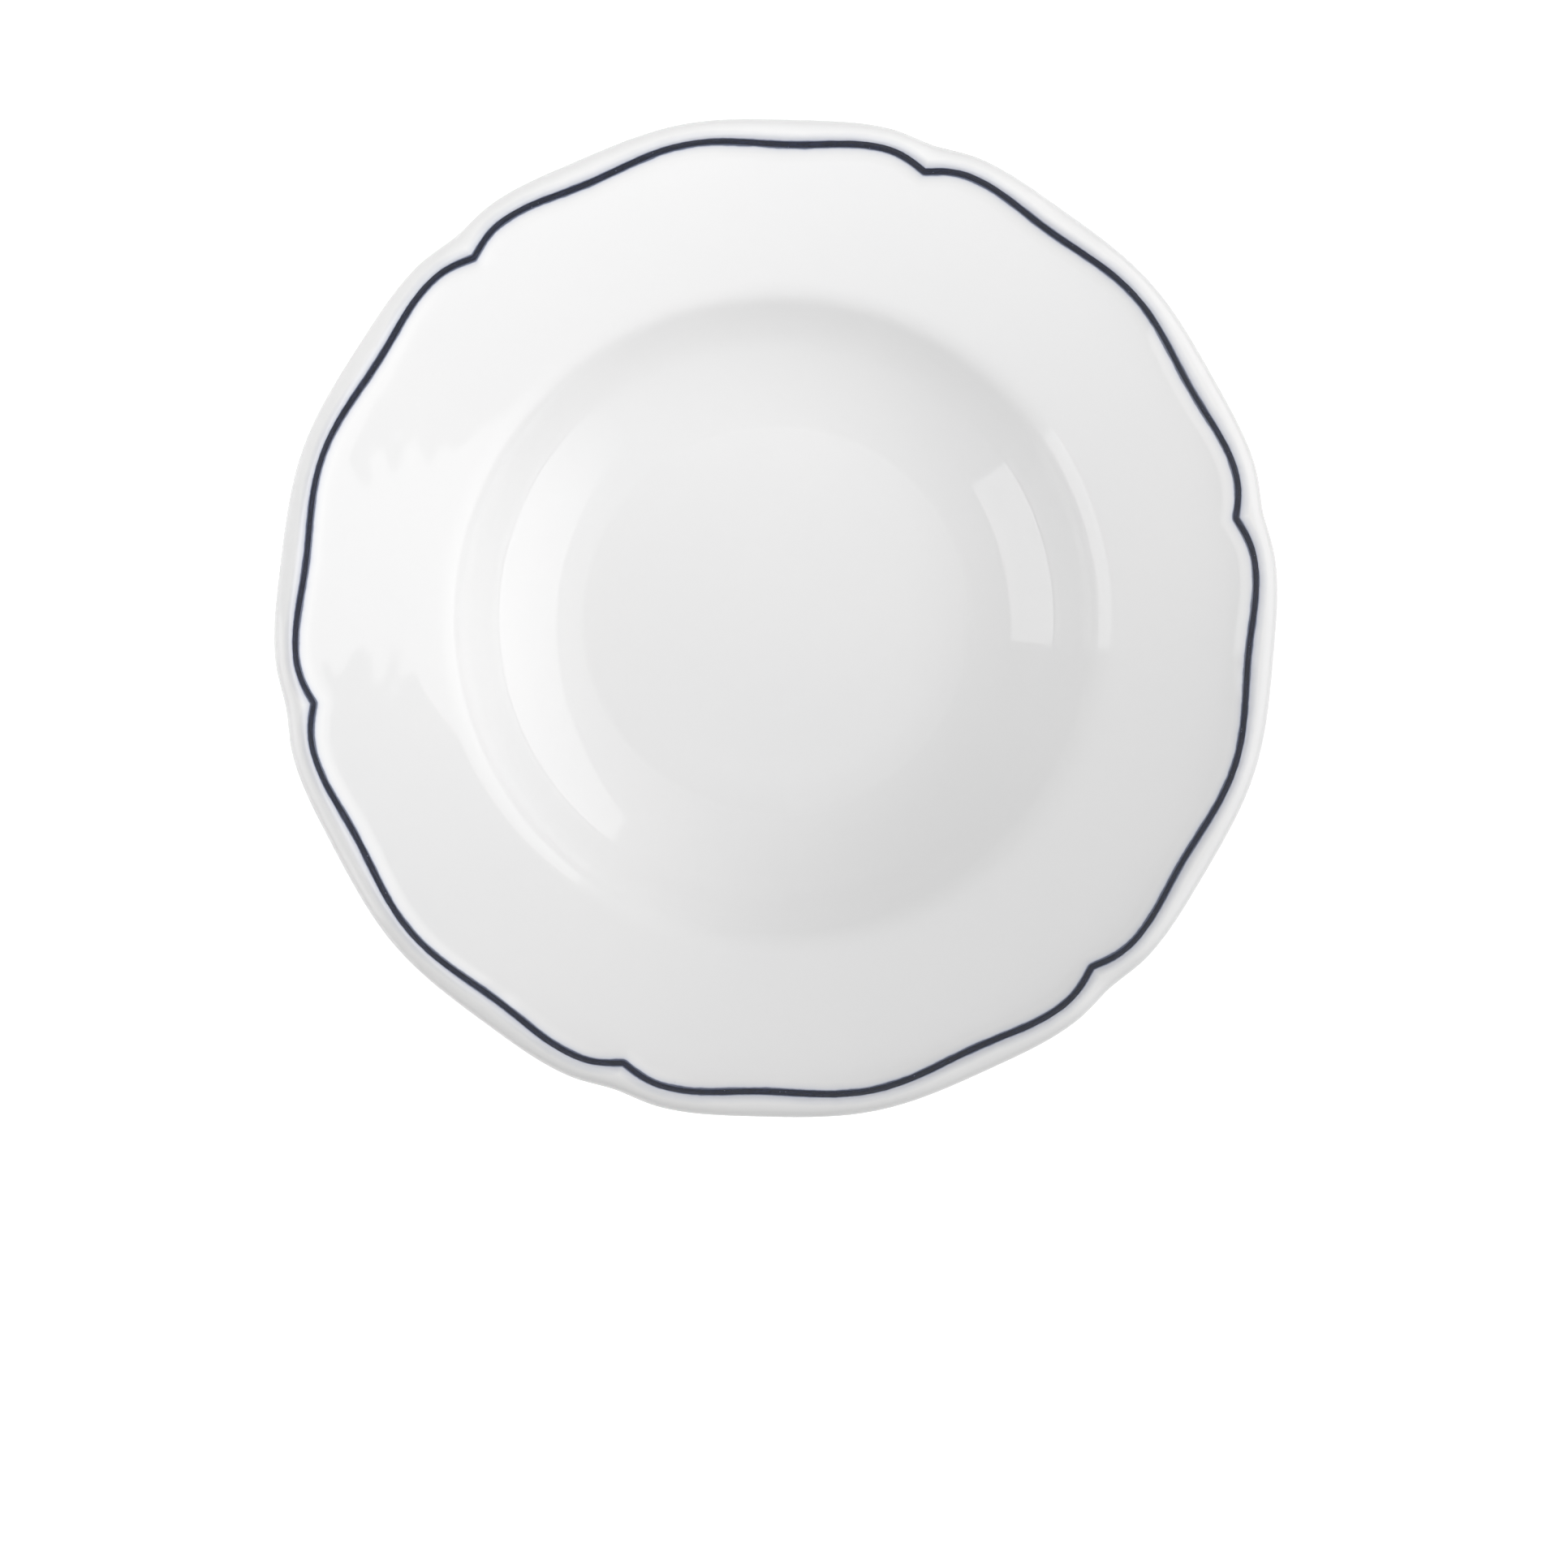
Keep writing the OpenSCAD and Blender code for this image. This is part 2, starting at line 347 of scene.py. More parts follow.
@dataclass(frozen=True)
class Scallop:
    """Scalloped outline of the lip and of the painted line that follows it.

    Between two notches lies one wide lobe, with a small lobe beside each notch. The outline dips by
    the notch at each notch, and by the dent between a small lobe and the wide one. The stray moves
    each notch from even spacing, by its own share.
    """

    sizes: PlateSizes
    notch_count: int = 6
    half_steps: int = 28
    crowd_power: float = 1.45
    edge_notch: float = 1.0
    edge_dent: float = 0.9
    edge_power: float = 0.9
    line_inset: float = 4.8
    line_notch: float = 2.6
    line_dent: float = 1.9
    line_power: float = 0.62
    side_lobe_share: float = 0.2
    dent_share: float = 0.57
    notch_stray: float = 1.25
    stray_shares: tuple[float, ...] = (0.8, 0.3, -1.0, -0.65, -0.15, 0.7)
    first_notch: float = 30.0

    def stations(self) -> tuple[Array, Array]:
        """Stations round the lip, crowded toward each notch by a power.

        Returns:
            Angles in radians, rising, and the fold at each: 0 at a notch, 1 in the middle of the wide lobe.
        """
        x = np.arange(self.half_steps + 1) / self.half_steps
        half = x**self.crowd_power / 2
        along = np.concatenate([half, 1 - half[-2:0:-1]])
        sector = 360.0 / self.notch_count
        k = np.arange(self.notch_count + 1)
        strays = self.notch_stray * np.take(self.stray_shares, k % self.notch_count)
        notches = self.first_notch + sector * k + strays
        spans = np.diff(notches)
        angles = notches[:-1, None] + along[None, :] * spans[:, None]
        folds = np.tile(2 * np.minimum(along, 1 - along), self.notch_count)
        return np.radians(angles.ravel()), folds

    def dip(self, fold: Array, notch: float, dent: float, power: float) -> Array:
        """Depth of the scallop: three smooth steps, from the notch's depth to 0, to the dent's, to 0.

        Args:
            fold: 0 at a notch, 1 in the middle of the wide lobe.
            notch: Depth at the notch.
            dent: Depth between the lobes.
            power: Tightens the notch where it is below 1.

        Returns:
            Depth at each fold.
        """

        def ease(x: Array) -> Array:
            """Smooth step, half of 1 less the cosine of a half turn."""
            return (1 - np.cos(np.pi * np.clip(x, 0.0, 1.0))) / 2

        near = notch * (1 - ease((fold / self.side_lobe_share) ** power))
        down = dent * ease((fold - self.side_lobe_share) / (self.dent_share - self.side_lobe_share))
        back = dent * (1 - ease((fold - self.dent_share) / (1 - self.dent_share)))
        outer = np.where(fold < self.dent_share, down, back)
        return np.where(fold < self.side_lobe_share, near, outer)

    def edge(self, fold: Array) -> Array:
        """Radius of the lip's outer edge."""
        return self.sizes.plate_r - self.dip(fold, self.edge_notch, self.edge_dent, self.edge_power)

    def line(self, fold: Array) -> Array:
        """Radius of the middle of the painted line."""
        dips = self.dip(fold, self.line_notch, self.line_dent, self.line_power)
        return self.sizes.plate_r - self.line_inset - dips

    def slant(self, angles: Array, radii: Array) -> Array:
        """Cosine of the angle between an outline and the circle through it.

        Args:
            angles: Stations, in radians, once round.
            radii: The outline's radius at each.

        Returns:
            Cosine at each station, 1 where the outline runs straight round.
        """
        swing = (np.roll(angles, -1) - np.roll(angles, 1)) % (2 * np.pi)
        rise = np.roll(radii, -1) - np.roll(radii, 1)
        return np.cos(np.arctan(rise / (radii * swing)))


@dataclass(frozen=True)
class LipForm:
    """Height of the glazed surface near the lip, over all stations at once."""

    sizes: PlateSizes
    edge: Array
    line: Array

    @property
    def middle(self) -> tuple[Array, Array]:
        """Middle of the rounded edge, which the rim's underside touches."""
        r = self.edge - self.sizes.bead_r
        return r, self.sizes.under(r) + self.sizes.bead_r / self.sizes.lean

    def height(self, r: Array) -> Array:
        """Height of the glazed top: a parabola up to the line, then a cubic to the crest.

        The parabola rises by line_rise over hollow_w from the rim's slope. The cubic starts at the
        parabola's end slope and is level at the crest.

        Args:
            r: Distances from the axis, one row for each station.

        Returns:
            Heights of the same shape.
        """
        s = self.sizes
        line = self.line[:, None]
        middle_r, middle_z = (x[:, None] for x in self.middle)
        inner = line - s.hollow_w
        run = middle_r - line
        climb = middle_z + s.bead_r - s.top(line) - s.line_rise
        steep = run * (s.top_tilt + 2 * s.line_rise / s.hollow_w)
        t = (r - line) / run
        low = s.top(r) + s.line_rise * np.clip((r - inner) / s.hollow_w, 0.0, None) ** 2
        high = s.top(line) + s.line_rise + climb * (3 * t**2 - 2 * t**3)
        high = high + steep * (t**3 - 2 * t**2 + t)
        return np.where(r < line, low, high)


# Meshes


@dataclass
class SectionMesh:
    """Closed surface through one section at each station round the axis.

    The sections end on the axis where poles is set, and run round a ring where it isn't. The values
    are attributes by name, each a grid of (station, point).
    """

    name: str
    angles: Array
    sections: Array
    poles: bool = True
    values: dict[str, Array] = field(default_factory=dict)

    def ordered(self, grid: Array) -> Array:
        """Puts a grid of values at (station, point) in the order of the mesh's vertices.

        Args:
            grid: Values of (m, n) or (m, n, k).

        Returns:
            Rows in vertex order: the grid, then the two poles where the sections end on the axis.
        """
        if not self.poles:
            return grid.reshape(-1, *grid.shape[2:])
        inner = grid[:, 1:-1].reshape(-1, *grid.shape[2:])
        return np.concatenate([inner, grid[:1, 0], grid[:1, -1]])

    def points(self) -> Array:
        """Vertices: (r cos a, r sin a, z) for the point (r, z) at the angle a.

        Returns:
            Rows of (x, y, z) in metres.
        """
        r, z = self.sections[..., 0], self.sections[..., 1]
        a = self.angles[:, None]
        grid = np.stack([r * np.cos(a), r * np.sin(a), z], axis=-1)
        return self.ordered(grid) * MM

    def faces(self) -> list[list[int]]:
        """Quads between neighbouring stations and points, with a fan of triangles at each pole.

        Returns:
            Vertex numbers of each face.
        """
        m, n = self.sections.shape[:2]
        width = n - 2 if self.poles else n
        index = np.arange(m * width).reshape(m, width)
        ahead = np.roll(index, -1, axis=0)
        if self.poles:
            a, b, c, d = index[:, :-1], index[:, 1:], ahead[:, 1:], ahead[:, :-1]
        else:
            a, b, c, d = index, np.roll(index, -1, 1), np.roll(ahead, -1, 1), ahead
        quads = np.stack([a, b, c, d], axis=-1).reshape(-1, 4).tolist()
        if not self.poles:
            return quads
        first = np.full(m, m * width)
        start = np.stack([first, index[:, 0], ahead[:, 0]], axis=-1).tolist()
        end = np.stack([first + 1, ahead[:, -1], index[:, -1]], axis=-1).tolist()
        return quads + start + end

    def build(self, sharp: float = 35.0) -> bpy.types.Object:
        """Makes the Blender object, shaded smooth but for edges sharper than an angle.

        Args:
            sharp: Least angle of an edge that stays sharp.

        Returns:
            The object, at the origin.
        """
        mesh = bpy.data.meshes.new(self.name)
        mesh.from_pydata(self.points().tolist(), [], self.faces())
        for name, grid in self.values.items():
            attribute = mesh.attributes.new(name, "FLOAT", "POINT")
            attribute.data.foreach_set("value", self.ordered(grid).astype(np.float32))
        mesh.polygons.foreach_set("use_smooth", np.ones(len(mesh.polygons), bool))
        mesh.set_sharp_from_angle(angle=np.radians(sharp))
        mesh.update()
        piece = bpy.data.objects.new(self.name, mesh)
        bpy.context.scene.collection.objects.link(piece)
        return piece


# Finishes


def opaque(colour: Colour) -> tuple[float, float, float, float]:
    """The colour with an alpha of 1."""
    return (*colour, 1.0)


class NodeBench:
    """Places and links the nodes of one tree."""

    def __init__(self, tree: bpy.types.NodeTree) -> None:
        """Starts with an empty tree."""
        self.tree = tree
        tree.nodes.clear()

    def add(
        self, kind: str, inputs: dict[str | int, object] | None = None, **settings: object
    ) -> bpy.types.Node:
        """Adds a node, sets its properties, and sets or links its inputs.

        Args:
            kind: Blender's type name, such as ShaderNodeMix.
            inputs: Value or output socket for each named or numbered input.
            settings: Properties of the node.

        Returns:
            The node.
        """
        node = self.tree.nodes.new(kind)
        for name, value in settings.items():
            setattr(node, name, value)
        for name, value in (inputs or {}).items():
            if isinstance(value, bpy.types.NodeSocket):
                self.tree.links.new(value, node.inputs[name])
            else:
                node.inputs[name].default_value = value
        return node

    def maths(self, operation: str, *values: object) -> bpy.types.NodeSocket:
        """Adds a Math node and returns its output."""
        return self.add("ShaderNodeMath", dict(enumerate(values)), operation=operation).outputs[0]

    def mix(self, factor: object, a: object, b: object, blend: str = "MIX") -> bpy.types.NodeSocket:
        """Adds a colour Mix node.

        Args:
            factor: Value or socket, 0 for a and 1 for b.
            a: First colour or socket.
            b: Second colour or socket.
            blend: Blender's blend type.

        Returns:
            The mixed colour's socket.
        """
        node = self.add("ShaderNodeMix", {0: factor, 6: a, 7: b}, data_type="RGBA", blend_type=blend)
        return node.outputs[2]

    def spread(
        self,
        value: object,
        lows: tuple[object, object],
        highs: tuple[object, object],
        smooth: bool = False,
    ) -> bpy.types.NodeSocket:
        """Maps a value from one range to another, held at the ends.

        Args:
            value: Value or socket.
            lows: The range it comes from, as values or sockets.
            highs: The range it goes to, as values or sockets.
            smooth: Eases in and out.

        Returns:
            The mapped value's socket.
        """
        node = self.add(
            "ShaderNodeMapRange",
            {0: value, 1: lows[0], 2: lows[1], 3: highs[0], 4: highs[1]},
            interpolation_type="SMOOTHSTEP" if smooth else "LINEAR",
        )
        return node.outputs[0]

    def ramp(self, value: object, stops: list[tuple[float, Colour]]) -> bpy.types.NodeSocket:
        """Adds a colour ramp.

        Args:
            value: Value or socket, from 0 to 1.
            stops: Place and colour of each stop, rising.

        Returns:
            The colour's socket.
        """
        node = self.add("ShaderNodeValToRGB", {0: value})
        elements = node.color_ramp.elements
        while len(elements) < len(stops):
            elements.new(0.5)
        for element, (place, colour) in zip(elements, stops):
            element.position = place
            element.color = opaque(colour)
        return node.outputs[0]

    def place(self) -> bpy.types.NodeSocket:
        """Object coordinates, in metres."""
        return self.add("ShaderNodeTexCoord").outputs["Object"]

    def noise(
        self, place: object, scale: object, detail: float = 2.0, roughness: float = 0.5
    ) -> bpy.types.NodeSocket:
        """Adds a noise texture and returns its value."""
        inputs = {"Vector": place, "Scale": scale, "Detail": detail, "Roughness": roughness}
        return self.add("ShaderNodeTexNoise", inputs).outputs[0]

    def shade(self, base: object, roughness: object, ior: float, normal: object) -> None:
        """Ends a material with its shader and its output.

        Args:
            base: The colour's socket.
            roughness: Value or socket.
            ior: Index of refraction.
            normal: The normal's socket.
        """
        inputs = {"Base Color": base, "Roughness": roughness, "IOR": ior, "Normal": normal}
        shader = self.add("ShaderNodeBsdfPrincipled", inputs)
        self.add("ShaderNodeOutputMaterial", {"Surface": shader.outputs[0]})


def new_material(name: str) -> tuple[bpy.types.Material, NodeBench]:
    """Starts a material.

    Args:
        name: The material's name.

    Returns:
        The material and a bench for its nodes.
    """
    material = bpy.data.materials.new(name)
    material.use_nodes = True
    return material, NodeBench(material.node_tree)


def group_of(
    name: str, ins: list[str], outs: list[str]
) -> tuple[bpy.types.NodeTree, NodeBench, bpy.types.Node]:
    """Starts a shader node group.

    Args:
        name: The group's name.
        ins: Names of its inputs: Vector is a vector, and the rest are floats.
        outs: Names of its float outputs.

    Returns:
        The group, a bench for its nodes, and its input node.
    """
    tree = bpy.data.node_groups.new(name, "ShaderNodeTree")
    for socket in ins:
        kind = "NodeSocketVector" if socket == "Vector" else "NodeSocketFloat"
        tree.interface.new_socket(socket, in_out="INPUT", socket_type=kind)
    for socket in outs:
        tree.interface.new_socket(socket, in_out="OUTPUT", socket_type="NodeSocketFloat")
    bench = NodeBench(tree)
    return tree, bench, bench.add("NodeGroupInput")


def glaze_relief_group() -> bpy.types.NodeTree:
    """Relief of fired glaze: long slow waves, with faint orange peel on them.

    Returns:
        A group that gives Height from Vector, Wave Scale, Peel Scale and Peel Share.
    """
    ins = ["Vector", "Wave Scale", "Peel Scale", "Peel Share"]
    tree, bench, given = group_of("glaze_relief", ins, ["Height"])
    place, wave_scale, peel_scale, peel_share = (given.outputs[name] for name in ins)
    waves = bench.noise(place, wave_scale, detail=0.0)
    peel = bench.noise(place, peel_scale, detail=0.0)
    bench.add("NodeGroupOutput", {"Height": bench.maths("MULTIPLY_ADD", peel, peel_share, waves)})
    return tree


def speck_group() -> bpy.types.NodeTree:
    """Scattered round specks: the cells of a Voronoi texture, near their middles, in a share of them.

    Returns:
        A group that gives Mask, 1 on a speck, from Vector, Cell Scale, Size and Share.
    """
    ins = ["Vector", "Cell Scale", "Size", "Share"]
    tree, bench, given = group_of("specks", ins, ["Mask"])
    place, cell_scale, size, share = (given.outputs[name] for name in ins)
    cells = bench.add("ShaderNodeTexVoronoi", {"Vector": place, "Scale": cell_scale})
    near = bench.spread(cells.outputs["Distance"], (0.0, size), (1.0, 0.0), smooth=True)
    pick = bench.add("ShaderNodeSeparateColor", {0: cells.outputs["Color"]}).outputs[0]
    chosen = bench.maths("LESS_THAN", pick, share)
    bench.add("NodeGroupOutput", {"Mask": bench.maths("MULTIPLY", near, chosen)})
    return tree


def ring_group(rings: tuple[tuple[float, float, float], ...]) -> bpy.types.NodeTree:
    """Faint rings that the shaping tool leaves round the axis: a smooth step in height at each.

    Args:
        rings: Radius, width and rise of each step, in millimetres.

    Returns:
        A group that gives Height, and the distance from the axis as Radius, in metres, from Vector.
    """
    tree, bench, given = group_of("turned_rings", ["Vector"], ["Height", "Radius"])
    xyz = bench.add("ShaderNodeSeparateXYZ", {0: given.outputs["Vector"]})
    squares = [bench.maths("POWER", xyz.outputs[k], 2.0) for k in range(2)]
    r = bench.maths("SQRT", bench.maths("ADD", *squares))
    height = 0.0
    for radius, width, rise in rings:
        ends = ((radius - width / 2) * MM, (radius + width / 2) * MM)
        height = bench.maths("ADD", height, bench.spread(r, ends, (0.0, rise * MM), smooth=True))
    bench.add("NodeGroupOutput", {"Height": height, "Radius": r})
    return tree


@dataclass(frozen=True)
class Mottle:
    """Noise whose values between the lows are stretched to the highs. Its scale is in cells a metre."""

    scale: float
    detail: float = 2.0
    roughness: float = 0.5
    lows: tuple[float, float] = (0.35, 0.65)
    highs: tuple[float, float] = (0.0, 1.0)
    smooth: bool = False

    def value(self, bench: NodeBench, place: object) -> bpy.types.NodeSocket:
        """Adds the stretched noise and returns its value."""
        noise = bench.noise(place, self.scale, self.detail, self.roughness)
        return bench.spread(noise, self.lows, self.highs, self.smooth)


@dataclass(frozen=True)
class Specks:
    """Scattered specks: cells a metre, a speck's size in its cell, and the share of cells with one."""

    cells: float
    size: float
    share: float

    def mask(self, bench: NodeBench, group: bpy.types.NodeTree, place: object) -> bpy.types.NodeSocket:
        """Adds the group of specks and returns its mask, 1 on a speck."""
        inputs = {"Vector": place, "Cell Scale": self.cells, "Size": self.size, "Share": self.share}
        return bench.add("ShaderNodeGroup", inputs, node_tree=group).outputs["Mask"]


@dataclass(frozen=True)
class Relief:
    """Relief of the glaze: waves and peel in cells a metre, the peel's share, and the depth."""

    waves: float
    peel: float
    peel_share: float
    depth: float

    def height(self, bench: NodeBench, group: bpy.types.NodeTree, place: object) -> bpy.types.NodeSocket:
        """Adds the group of the relief and returns its height, for a depth of 1.

        Args:
            bench: The material's nodes.
            group: The relief's node group.
            place: Object coordinates.

        Returns:
            The height's socket.
        """
        inputs = {
            "Vector": place,
            "Wave Scale": self.waves,
            "Peel Scale": self.peel,
            "Peel Share": self.peel_share,
        }
        return bench.add("ShaderNodeGroup", inputs, node_tree=group).outputs["Height"]


@dataclass(frozen=True)
class GlazeFinish:
    """Gloss white glaze, with colour bled from the painted line and rare iron specks.

    It waves faintly all over, has tool rings on the well's wall, and is a little dented on the rim. On the
    lip's side of the line, painted shade darkens the bled colour further.
    """

    relief_group: bpy.types.NodeTree
    speck_group: bpy.types.NodeTree
    white: Colour = (0.840, 0.838, 0.837)
    cool: Colour = (0.829, 0.829, 0.830)
    drift: Mottle = Mottle(18.0)
    speck: Colour = (0.28, 0.25, 0.22)
    specks: Specks = Specks(85.0, 0.014, 0.5)
    roughness: Mottle = Mottle(40.0, 3.0, lows=(0.3, 0.7), highs=(0.015, 0.045))
    ior: float = 1.54
    relief: Relief = Relief(60.0, 900.0, 0.01, 0.04)
    rings: tuple[tuple[float, float, float], ...] = ((66.0, 1.6, 0.02), (69.4, 1.6, 0.02))
    dent_scale: float = 150.0
    dent_depth: float = 0.04
    dent_from_r: float = 78.0
    dent_full_r: float = 88.0
    wander: Mottle = Mottle(260.0, 3.0, lows=(0.3, 0.7), highs=(-0.12, 0.12))
    bleed_and_shade_reach: float = 4.0
    bleed_inside: tuple[tuple[float, Colour], ...] = (
        (1.16, (0.10, 0.12, 0.19)),
        (1.30, (0.42, 0.45, 0.56)),
        (1.46, (0.68, 0.71, 0.80)),
        (1.70, (0.83, 0.85, 0.90)),
        (2.00, (0.895, 0.905, 0.935)),
        (2.40, (0.95, 0.955, 0.97)),
        (3.40, (1.0, 1.0, 1.0)),
    )
    # On the lip's side the ramp is darker and reaches further than bled colour alone: painted shade just
    # outside the line.
    bleed_and_painted_shade_outside: tuple[tuple[float, Colour], ...] = (
        (1.14, (0.11, 0.13, 0.20)),
        (1.28, (0.42, 0.45, 0.56)),
        (1.44, (0.62, 0.65, 0.75)),
        (1.64, (0.73, 0.75, 0.82)),
        (1.95, (0.77, 0.785, 0.835)),
        (2.60, (0.865, 0.875, 0.905)),
        (3.60, (1.0, 1.0, 1.0)),
    )

    def bled_colour_and_painted_shade(self, bench: NodeBench, place: bpy.types.NodeSocket) -> bpy.types.NodeSocket:
        """Colour bled from the line: a ramp over the distance from its middle, longer on the lip's side.

        Args:
            bench: The material's nodes.
            place: Object coordinates.

        Returns:
            Colour to multiply the white by: bled colour on both sides, and painted shade as well on the
                lip's side.
        """
        distance = bench.add("ShaderNodeAttribute", attribute_name="line_mm").outputs["Fac"]
        off = bench.maths("ADD", bench.maths("ABSOLUTE", distance), self.wander.value(bench, place))
        share = bench.maths("DIVIDE", off, self.bleed_and_shade_reach)
        sides = [
            bench.ramp(share, [(at / self.bleed_and_shade_reach, colour) for at, colour in stops])
            for stops in (self.bleed_inside, self.bleed_and_painted_shade_outside)
        ]
        return bench.mix(bench.maths("GREATER_THAN", distance, 0.0), *sides)

    def height(self, bench: NodeBench, place: bpy.types.NodeSocket) -> bpy.types.NodeSocket:
        """Height of the surface: waves, plus rings, plus dents times a smooth step in the radius.

        Args:
            bench: The material's nodes.
            place: Object coordinates.

        Returns:
            Height in metres.
        """
        waves = self.relief.height(bench, self.relief_group, place)
        waves = bench.maths("MULTIPLY", waves, self.relief.depth * MM)
        rings = bench.add("ShaderNodeGroup", {"Vector": place}, node_tree=ring_group(self.rings))
        turned = bench.maths("ADD", waves, rings.outputs["Height"])
        dents = bench.maths("SUBTRACT", bench.noise(place, self.dent_scale, detail=0.0), 0.5)
        ends = (self.dent_from_r * MM, self.dent_full_r * MM)
        depth = bench.spread(rings.outputs["Radius"], ends, (0.0, self.dent_depth * MM), smooth=True)
        return bench.maths("MULTIPLY_ADD", dents, depth, turned)

    def build(self) -> bpy.types.Material:
        """Makes the material.

        Returns:
            The glaze.
        """
        material, bench = new_material("gloss_glaze")
        place = bench.place()
        base = bench.mix(self.drift.value(bench, place), opaque(self.white), opaque(self.cool))
        base = bench.mix(self.specks.mask(bench, self.speck_group, place), base, opaque(self.speck))
        # Multiplies in the bled colour, and on the lip's side painted shade as well.
        base = bench.mix(1.0, base, self.bled_colour_and_painted_shade(bench, place), blend="MULTIPLY")
        inputs = {"Strength": 1.0, "Distance": 1.0, "Height": self.height(bench, place)}
        bump = bench.add("ShaderNodeBump", inputs)
        bench.shade(base, self.roughness.value(bench, place), self.ior, bump.outputs[0])
        return material


@dataclass(frozen=True)
class ClayFinish:
    """Bare fired clay: matte, warm white, finely grained, with grey rubbed on where it stands."""

    speck_group: bpy.types.NodeTree
    pale: Colour = (0.80, 0.77, 0.70)
    dull: Colour = (0.70, 0.66, 0.585)
    drift: Mottle = Mottle(120.0, 4.0)
    rubbed: Colour = (0.52, 0.50, 0.47)
    rubs: Mottle = Mottle(300.0, 4.0, 0.6, lows=(0.45, 0.65), highs=(0.0, 0.7), smooth=True)
    rub_h: float = 0.5
    specks: Specks = Specks(700.0, 0.25, 0.12)
    grain_scale: float = 4000.0
    grain_depth: float = 0.04
    grain_strength: float = 0.5
    roughness: float = 0.78
    ior: float = 1.5

    def build(self) -> bpy.types.Material:
        """Makes the material.

        Returns:
            The clay.
        """
        material, bench = new_material("bare_clay")
        place = bench.place()
        base = bench.mix(self.drift.value(bench, place), opaque(self.pale), opaque(self.dull))
        up = bench.add("ShaderNodeSeparateXYZ", {0: place}).outputs[2]
        low = bench.spread(up, (0.0, self.rub_h * MM), (1.0, 0.0), smooth=True)
        worn = bench.maths("MULTIPLY", low, self.rubs.value(bench, place))
        base = bench.mix(worn, base, opaque(self.rubbed))
        base = bench.mix(self.specks.mask(bench, self.speck_group, place), base, opaque(self.rubbed))
        grain = bench.noise(place, self.grain_scale, detail=3.0, roughness=0.6)
        inputs = {"Strength": self.grain_strength, "Distance": self.grain_depth * MM, "Height": grain}
        bump = bench.add("ShaderNodeBump", inputs)
        bench.shade(base, self.roughness, self.ior, bump.outputs[0])
        return material


@dataclass(frozen=True)
class LineFinish:
    """Navy ceramic colour laid on by brush: streaked along its run, thin at its edges, with pinholes.

    The streaks are noise at the place seen from above, moved up by bristle_layer times across, so
    that they run along the line and differ over its width.
    """

    relief_group: bpy.types.NodeTree
    speck_group: bpy.types.NodeTree
    full: Colour = (0.005, 0.008, 0.021)
    thin: Colour = (0.018, 0.024, 0.055)
    pinhole: Colour = (0.22, 0.24, 0.32)
    streaks: Mottle = Mottle(420.0, 4.0, 0.6, lows=(0.42, 0.72), highs=(0.0, 0.8), smooth=True)
    bristle_layer: float = 6.0
    thin_from: float = 0.55
    pinholes: Specks = Specks(900.0, 0.16, 0.22)
    roughness: float = 0.16
    streak_roughness: float = 0.30
    ior: float = 1.45
    relief: Relief = Relief(55.0, 1800.0, 0.03, 0.06)

    def build(self) -> bpy.types.Material:
        """Makes the material.

        Returns:
            The line's colour.
        """
        material, bench = new_material("navy_line_colour")
        place = bench.place()
        across = bench.add("ShaderNodeAttribute", attribute_name="across").outputs["Fac"]
        xyz = bench.add("ShaderNodeSeparateXYZ", {0: place})
        layer = bench.maths("MULTIPLY", across, self.bristle_layer * MM)
        brush = bench.add("ShaderNodeCombineXYZ", {0: xyz.outputs[0], 1: xyz.outputs[1], 2: layer})
        streak = self.streaks.value(bench, brush.outputs[0])
        edge = bench.spread(bench.maths("ABSOLUTE", across), (self.thin_from, 1.0), (0.0, 1.0), smooth=True)
        base = bench.mix(bench.maths("MAXIMUM", streak, edge), opaque(self.full), opaque(self.thin))
        base = bench.mix(self.pinholes.mask(bench, self.speck_group, place), base, opaque(self.pinhole))
        rough = bench.spread(streak, (0.0, 1.0), (self.roughness, self.streak_roughness))
        height = self.relief.height(bench, self.relief_group, place)
        inputs = {"Strength": 1.0, "Distance": self.relief.depth * MM, "Height": height}
        bump = bench.add("ShaderNodeBump", inputs)
        bench.shade(base, rough, self.ior, bump.outputs[0])
        return material


# The plate


